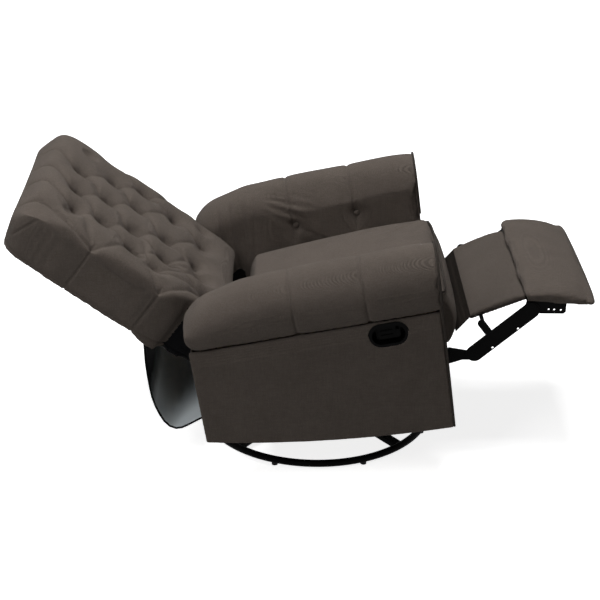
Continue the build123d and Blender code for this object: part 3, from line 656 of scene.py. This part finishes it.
def build_back():
    """The tufted cushion with its side bands and rear cover in one padded piece."""
    pillow = soft_copy("back_pillow", ["back_cushion"], 0.006, 5, back_outline)
    co, normals = points_of(pillow), normals_of(pillow)
    set_points(pillow, co + tufted_face(co, normals)[:, None] * BACK_W)
    co = points_of(pillow)
    x, u, w = back_coords(co)
    p = np.stack([x, u], axis=1)
    held = np.zeros(len(co))
    for row in TUFT_ROWS:
        for centre in row:
            away = np.linalg.norm(p - np.array(centre), axis=1)
            held = np.maximum(held, bell(away, 0.012, 4) * (w > -0.03))
    held = np.maximum(held, w < -BACK_THICK + 0.03)
    held = np.maximum(held, u < -0.10)
    held = np.maximum(held, u > 0.355)
    held = np.maximum(held, (np.abs(x) > 0.262) & (w < -0.030))
    puff(pillow, 3.0, 0.007, held)
    finer(pillow)
    co, normals = points_of(pillow), normals_of(pillow)
    set_points(pillow, co - (back_seams(co) + sharp_folds(co, normals))[:, None] * normals)
    dressed(pillow, FABRIC, "back", ["back_cushion", "back_shell"])
    # Faces of the lower back between the arms take the black cloth: painted shade of the hollow behind the
    # arms.
    pillow.data.materials.append(DUST_COVER_AND_PAINTED_SHADE)
    co = points_of(pillow)
    x, u, w = back_coords(co)
    painted_shade_faces = (np.abs(x) < BETWEEN_ARMS) & (u < -0.07) & (w < -0.012)
    for polygon in pillow.data.polygons:
        if painted_shade_faces[polygon.vertices[0]]:
            polygon.material_index = 1
    return pillow


def disc_buttons(places, radius, thickness):
    """Covered buttons: low domes with a rolled edge, at (centre, direction) places."""
    rings = ((0.0, 1.0), (0.35, 0.97), (0.68, 0.82), (0.9, 0.52), (1.0, 0.15), (0.92, -0.25))
    steps = 20
    vertices, faces = [], []
    for centre, direction in places:
        direction = Vector(direction).normalized()
        across = direction.orthogonal().normalized()
        other = direction.cross(across)
        start = len(vertices)
        vertices.append(tuple(Vector(centre) + direction * thickness))
        for share, height in rings[1:]:
            for i in range(steps):
                angle = 2 * math.pi * i / steps
                out = across * math.cos(angle) + other * math.sin(angle)
                vertices.append(tuple(Vector(centre) + out * radius * share + direction * thickness * height))
        for i in range(steps):
            faces.append((start, start + 1 + i, start + 1 + (i + 1) % steps))
        for ring in range(len(rings) - 2):
            low = start + 1 + ring * steps
            for i in range(steps):
                j = (i + 1) % steps
                faces.append((low + i, low + steps + i, low + steps + j, low + j))
    return vertices, faces


def build_back_buttons(pillow):
    """One button at the bottom of each tuft that isn't on the edge."""
    co = points_of(pillow)
    x, u, w = back_coords(co)
    places = []
    for row in TUFT_ROWS:
        for centre in row:
            if abs(centre[0]) > EDGE_TUFT:
                continue
            near = np.hypot(x - centre[0], u - centre[1]) < 0.006
            level = float(np.median(w[near & (w > -0.05)]))
            spot = BACK_ZERO + centre[1] * BACK_U + level * BACK_W + np.array((centre[0], 0, 0))
            places.append((spot, BACK_W))
    vertices, faces = disc_buttons(places, 0.0075, 0.003)
    mesh = bpy.data.meshes.new("back_tuft_buttons")
    mesh.from_pydata(vertices, [], faces)
    dressed(new_piece("back_tuft_buttons", mesh), FABRIC, "back", ["back_buttons"])


# ---------------------------------------------------------------- seat

SEAT_SEAM = (-0.319, 0.487)
# Points of the piping along the front edge, from the sitter's left to the right
SEAT_WELT = ((0.240, -0.306, 0.476), (0.232, -0.314, 0.481), (0.190, -0.319, 0.484), (0.130, -0.321, 0.485),
             (0.0, -0.321, 0.489), (-0.120, -0.319, 0.491), (-0.200, -0.317, 0.491), (-0.236, -0.316, 0.489),
             (-0.247, -0.313, 0.484), (-0.249, -0.306, 0.480))


def build_seat():
    """Seat cushion, a little hollow where one sits, with fuller front corners and its piping."""
    seat = soft_copy("seat_pad", ["seat_cushion"], 0.005, 4)
    co, normals = points_of(seat), normals_of(seat)
    y, z = profile(co)
    x = co[:, 0]
    top = smoothstep(normals[:, 2], 0.5, 0.9)
    dip = 0.006 * bell(x, 0.15) * bell(y + 0.06, 0.13) * top
    set_points(seat, co - np.stack([0 * x, 0 * x, dip], axis=1))
    co, normals = points_of(seat), normals_of(seat)
    y, z = profile(co)
    corner = 0.005 * smoothstep(np.abs(x), 0.205, 0.240) * bell(np.hypot(y + 0.315, z - 0.480), 0.030)
    set_points(seat, co + corner[:, None] * normals)
    held = ((z < 0.36) & (y > -0.29)) | (y > 0.12) | ((y < -0.29) & (np.abs(x) > 0.235))
    puff(seat, 3.0, 0.005, held.astype(float))
    finer(seat)
    co, normals = points_of(seat), normals_of(seat)
    y, z = profile(co)
    near_seam = np.hypot(y - SEAT_SEAM[0], z - SEAT_SEAM[1])
    set_points(seat, co - (0.004 * bell(near_seam, 0.007, 1.4))[:, None] * normals)
    dressed(seat, FABRIC, "seat", ["seat_cushion"])
    piping = cord("seat_piping", [[row_point(*p) for p in SEAT_WELT]], 0.0030)
    dressed(piping, WELT_PAINTED_SHADE, "seat", None)


# ---------------------------------------------------------------- arms

# (y, z) where the two seams cross the roll's top, and the lean of their planes
ROLL_SEAMS = ((0.085, 0.577), (-0.089, 0.614))
SEAM_LEAN = math.radians(11)
ARM_BUTTONS = ((-0.117, 0.498), (0.053, 0.462))
# Folds on the inner side of the roll's rear end, as (place, lean, depth)
GATHERS = ((0.17, 0.05, 0.0045), (0.20, 0.10, 0.006), (0.235, 0.16, 0.006), (0.27, 0.2, 0.005))
# Small puckers under the roll's outer seam, as (place, depth)
PUCKERS = ((-0.262, 0.0011), (-0.249, 0.0015), (-0.236, 0.0009), (-0.224, 0.0014), (-0.211, 0.0010),
           (-0.197, 0.0012), (-0.060, 0.0007), (0.050, 0.0008))


def crease_z(y):
    """Height of the seam under the arm roll at y."""
    (y0, z0), (y1, z1) = FRONT_CREASE, REAR_CREASE
    return z0 + (y - y0) * (z1 - z0) / (y1 - y0)


def roll_shape(co, normals, side):
    """Seams round the roll, gathers on its inner rear end and dimples at its buttons."""
    y, z = profile(co)
    x = co[:, 0] * side
    move = np.zeros(len(co))
    for seam_y, seam_z in ROLL_SEAMS:
        distance = (y - seam_y) * math.cos(SEAM_LEAN) - (z - seam_z) * math.sin(SEAM_LEAN)
        reach = smoothstep(z, crease_z(y) - 0.02, crease_z(y) + 0.01)
        move -= (0.0042 * bell(distance, 0.0030, 1.4) + 0.0016 * bell(distance, 0.014)) * reach
    inner = smoothstep(-normals[:, 0] * side, 0.35, 0.9)
    for by, bz in ARM_BUTTONS:
        away = np.hypot(y - by, z - bz)
        move -= 0.010 * bell(away, 0.018, 1.3) * inner
        below = np.hypot((y - by) * 1.0, np.minimum(z - bz, 0) * 0.25)
        move -= 0.003 * bell(below, 0.010, 1.5) * inner
    rear = smoothstep(y, 0.10, 0.24)
    for place, lean, depth in GATHERS:
        line = y - place - lean * (z - 0.47)
        fade = smoothstep(z, 0.34, 0.42) * (1 - smoothstep(z, 0.50, 0.545))
        move -= depth * bell(line, 0.007, 1.5) * inner * rear * fade
    return move


FACING_TOP = (-0.272, 0.645)
ARM_LEAN = math.radians(7.5)
FORWARD = np.array((0.0, -math.cos(ARM_LEAN), math.sin(ARM_LEAN)))
FACING_T = 0.009


def to_the_front(co):
    """Draws the front end of a cover over the facing's edge, up to its piping."""
    behind = -(co - np.array(row_point(0.0, *FACING_TOP))) @ FORWARD
    gap, reach = FACING_T + 0.0022, 0.045
    move = gap * np.clip((reach - behind) / (reach - FACING_T), 0.0, 1.0)
    return co + move[:, None] * FORWARD


# (y, z) at the foot and top of an arm's rear cover, and its x from the inner to the outer side
REAR_FOOT = (0.271, 0.152)
REAR_TOP = (0.320, 0.381)
REAR_SIDES = (0.267, 0.3835)
REAR_STEPS = 12


def rear_cover(name, side):
    """Cloth panel that closes the rear end of an arm, slightly crowned."""
    vertices, faces = [], []
    count = REAR_STEPS + 1
    for thickness, crown in ((0.0, 0.004), (-0.004, 0.0)):
        for i in range(count):
            up = i / REAR_STEPS
            for k in range(count):
                across = k / REAR_STEPS
                swell = crown * (1 - (2 * up - 1) ** 4) * (1 - (2 * across - 1) ** 4)
                x = side * (REAR_SIDES[0] + across * (REAR_SIDES[1] - REAR_SIDES[0]))
                y = REAR_FOOT[0] + up * (REAR_TOP[0] - REAR_FOOT[0]) + thickness + swell
                z = REAR_FOOT[1] + up * (REAR_TOP[1] - REAR_FOOT[1])
                vertices.append(row_point(x, y, z))
    layer = count * count
    for i in range(REAR_STEPS):
        for k in range(REAR_STEPS):
            a = i * count + k
            faces.append((a, a + 1, a + count + 1, a + count))
            faces.append((a + layer, a + layer + count, a + layer + count + 1, a + layer + 1))
    rim = list(range(count)) + [i * count + REAR_STEPS for i in range(1, count)]
    rim += [REAR_STEPS * count + k for k in range(REAR_STEPS - 1, -1, -1)]
    rim += [i * count for i in range(REAR_STEPS - 1, 0, -1)]
    for a, b in zip(rim, rim[1:] + rim[:1]):
        faces.append((a, a + layer, b + layer, b))
    mesh = bpy.data.meshes.new(name)
    mesh.from_pydata(vertices, [], faces)
    mesh.update()
    return new_piece(name, mesh)


def build_arms():
    """Rolls, side covers, facings with their piping, rear covers and the buttons inside."""
    for side, hand in ((-1, "right"), (1, "left")):
        roll = soft_copy(f"arm_pillow_{hand}", [f"arm_roll_{hand}"], 0.005, 4, to_the_front)
        grow(roll, 0.0008)
        co = points_of(roll)
        y, z = profile(co)
        outer = co[:, 0] * side > 0.30
        held = (outer & (z < crease_z(y) + 0.012)) | (~outer & ((z < 0.40) | (y > 0.14)))
        puff(roll, 2.5, 0.005, held.astype(float))
        finer(roll)
        co, normals = points_of(roll), normals_of(roll)
        set_points(roll, co + roll_shape(co, normals, side)[:, None] * normals)
        dressed(roll, FABRIC, "seat", [f"arm_roll_{hand}"])

        outside = [f"arm_outer_{hand}", f"arm_posts_{hand}"]
        panel = soft_copy(f"arm_side_{hand}", outside, 0.004, 2, to_the_front)
        co, normals = points_of(panel), normals_of(panel)
        outward = smoothstep(normals[:, 0] * side, 0.4, 0.9)
        y, z = profile(co)
        below = crease_z(y) - z
        swell = 0.004 * smoothstep(below, 0.0, 0.05)
        for place, depth in PUCKERS:
            swell -= depth * bell(y - place - 0.15 * below, 0.0042) * (1 - smoothstep(below, 0.012, 0.055))
        set_points(panel, co + (swell * outward)[:, None] * np.array((side, 0, 0)))
        dressed(panel, FABRIC, "seat", [f"arm_outer_{hand}"])

        front = soft_copy(f"arm_facing_{hand}", [f"arm_front_{hand}"], 0.003, 2)
        grow(front, -0.0015)
        set_points(front, points_of(front) + 0.0034 * FORWARD)
        dressed(front, FABRIC, "seat", [f"arm_front_{hand}"])

        welt = merged_copy(f"arm_piping_{hand}", [f"arm_welt_{hand}"])
        grow(welt, 0.0009)
        set_points(welt, points_of(welt) - 0.0004 * FORWARD)
        dressed(welt, WELT_PAINTED_SHADE, "seat", [f"arm_welt_{hand}"])
        dressed(rear_cover(f"arm_rear_{hand}", side), FABRIC, "seat", None)
    places = []
    for side in (-1, 1):
        for y, z in ARM_BUTTONS:
            places.append((row_point(side * (ARM_IN + 0.004), y, z), (-side, 0, 0)))
    vertices, faces = disc_buttons(places, 0.008, 0.003)
    mesh = bpy.data.meshes.new("arm_wall_buttons")
    mesh.from_pydata(vertices, [], faces)
    dressed(new_piece("arm_wall_buttons", mesh), FABRIC, "seat", ["arm_buttons"])


# ---------------------------------------------------------------- footrest

# (y, z) at the ends of the mid panel and of the flap
PANEL_REAR = (-0.384, 0.403)
PANEL_FRONT = (-0.512, 0.459)
FLAP_TOP = (-0.384, 0.395)
FLAP_LOW = (-0.359, 0.366)


def run_between(a, b):
    step = np.array((0.0, b[0] - a[0], b[1] - a[1]))
    return step / np.linalg.norm(step), float(np.linalg.norm(step))


def longer_panel(co):
    """Cover of the mid panel drawn out to the pad and to the flap's fold."""
    along, length = run_between(PANEL_REAR, PANEL_FRONT)
    share = (co - np.array(row_point(0.0, *PANEL_REAR))) @ along / length
    move = 0.009 * smoothstep(share, 0.6, 1.0) - 0.003 * (1 - smoothstep(share, 0.0, 0.3))
    under_pad = 0.006 * smoothstep(share, 0.80, 1.0)
    return co + move[:, None] * along - under_pad[:, None] * np.array((0.0, along[2], -along[1]))


def longer_flap(co):
    """The flap drawn out under the seat's front edge."""
    along, length = run_between(FLAP_TOP, FLAP_LOW)
    share = np.clip((co - np.array(row_point(0.0, *FLAP_TOP))) @ along / length, 0.0, 1.0)
    return co + (0.010 * share - 0.009 * (1 - share))[:, None] * along + np.array((0.0, 0.002, 0.0))


def build_footrest():
    """Footrest pad over its board, the mid panel, and the flap down to the seat's front edge; the panel's
    cloth, its rear end and the flap are darkened as painted shade.
    """
    pad = soft_copy("footrest_cushion", ["footrest_pad", "footrest_board"], 0.004, 6)
    grow(pad, 0.004)
    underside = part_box("footrest_board")[0][2]
    co = points_of(pad)
    co[:, 2] = np.maximum(co[:, 2], underside - 0.0005)
    set_points(pad, co)
    puff(pad, 2.5, 0.005, (points_of(pad)[:, 2] < underside + 0.004).astype(float))
    finer(pad)
    dressed(pad, FABRIC, "footpad", ["footrest_pad"])

    panel = soft_copy("footrest_mid_panel", ["mid_panel"], 0.004, 3, longer_panel)
    grow(panel, 0.002)
    dressed(panel, PANEL_FABRIC_PAINTED_SHADE, "shin", ["mid_panel"])
    panel.data.materials.append(PAINTED_SHADE_FABRIC)
    along, _ = run_between(PANEL_REAR, PANEL_FRONT)
    # Faces turned to the rear take the darkened cloth as painted shade.
    for polygon in panel.data.polygons:
        if np.array(polygon.normal) @ along < -0.35:
            polygon.material_index = 1

    flap = merged_copy("footrest_flap", ["bridge_flap"])
    set_points(flap, longer_flap(points_of(flap)))
    dressed(flap, PAINTED_SHADE_FABRIC, "shin", ["bridge_flap"])


# ---------------------------------------------------------------- hanging rear cloth

# (y, z) of the cloth's bound side edges, from the back's lower edge round the sag to the rear rail
SKIRT_EDGE = ((0.4455, 0.350), (0.4445, 0.320), (0.4435, 0.287), (0.440, 0.250), (0.4355, 0.215),
              (0.431, 0.187), (0.423, 0.160), (0.413, 0.136), (0.402, 0.116), (0.388, 0.101),
              (0.372, 0.0945), (0.357, 0.0965), (0.343, 0.103), (0.330, 0.1105), (0.309, 0.1225),
              (0.292, 0.131))
SKIRT_EDGE_X = 0.241


def build_skirt():
    """The lining that hangs under the back, with the binding along its side edges."""
    skirt = merged_copy("rear_cloth", ["rear_skirt"])
    dressed(skirt, LINING_PAINTED_SHADE, "seat", ["rear_skirt"])
    edges = [[row_point(side * SKIRT_EDGE_X, y, z) for y, z in SKIRT_EDGE] for side in (-1, 1)]
    binding = cord("rear_cloth_binding", edges, 0.0026)
    dressed(binding, DUST_COVER_AND_PAINTED_SHADE, "seat", None)


back_pillow = build_back()
build_back_buttons(back_pillow)
build_seat()
build_arms()
build_footrest()
build_skirt()
